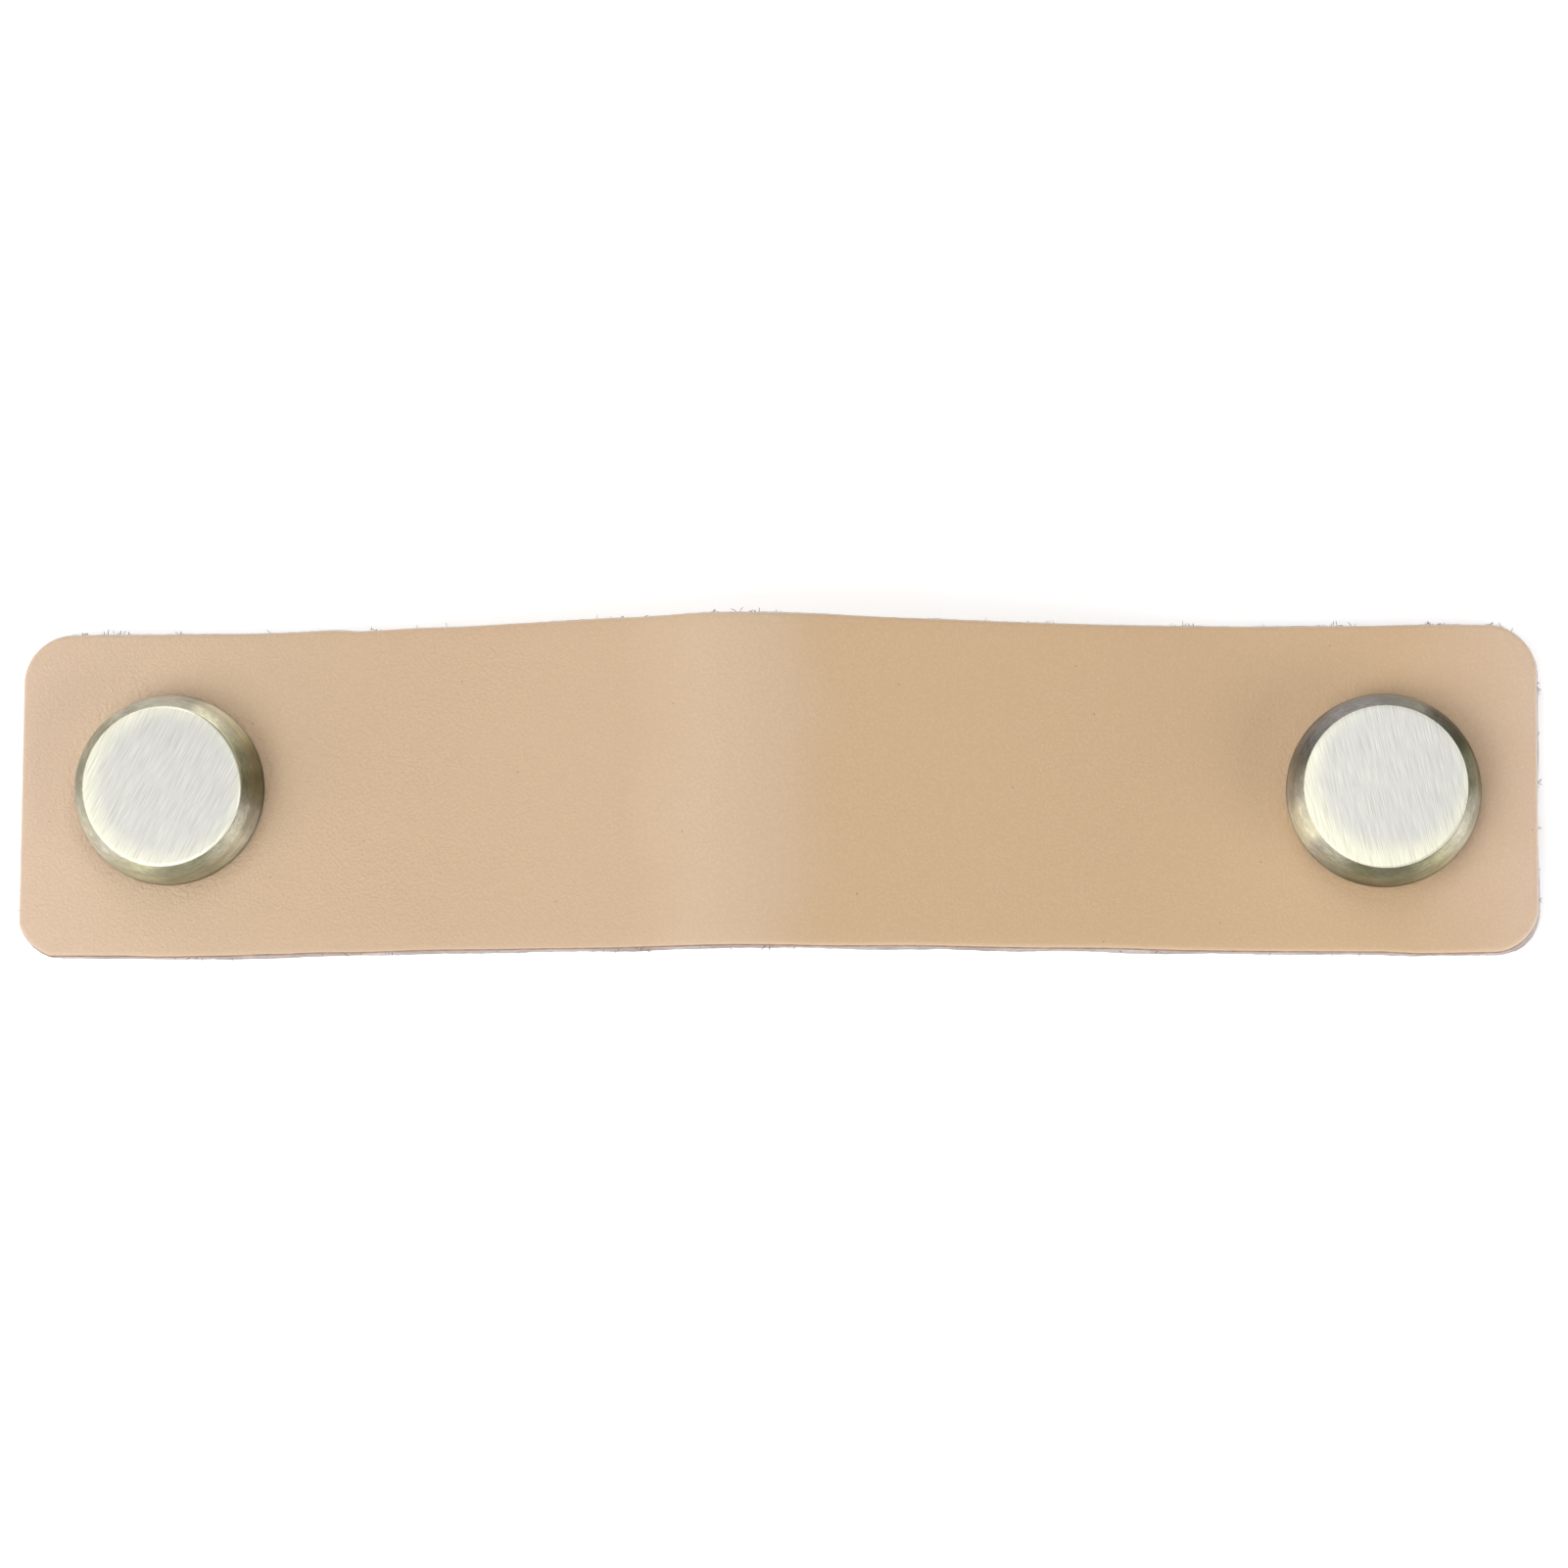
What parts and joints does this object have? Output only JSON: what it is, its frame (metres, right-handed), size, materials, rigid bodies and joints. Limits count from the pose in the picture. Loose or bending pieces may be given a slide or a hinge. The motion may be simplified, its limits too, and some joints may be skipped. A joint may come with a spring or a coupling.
{
  "type": "strap pull",
  "caption": "Bowed faux leather strap with a flat round metal cap over each end, fixed from behind through a drawer or door front and pulled with the fingers.",
  "frame": {"origin": "on the plane of the strap's back, which lies on the drawer front, midway between the two fixing screws", "axes": "+X along the strap, +Y across it, +Z out of the drawer front towards the user"},
  "size_m": [0.12, 0.0254, 0.0131],
  "materials": {
    "faux_leather": "tan coated faux leather with a fine shallow grain, matt, raw cut edges",
    "brushed_brass": "pale antique brass, brushed flat top and darker brushed shoulder"
  },
  "bodies": {
    "root": {"strap": "faux_leather", "cap_left": "brushed_brass", "cap_right": "brushed_brass"}
  },
  "joints": []
}
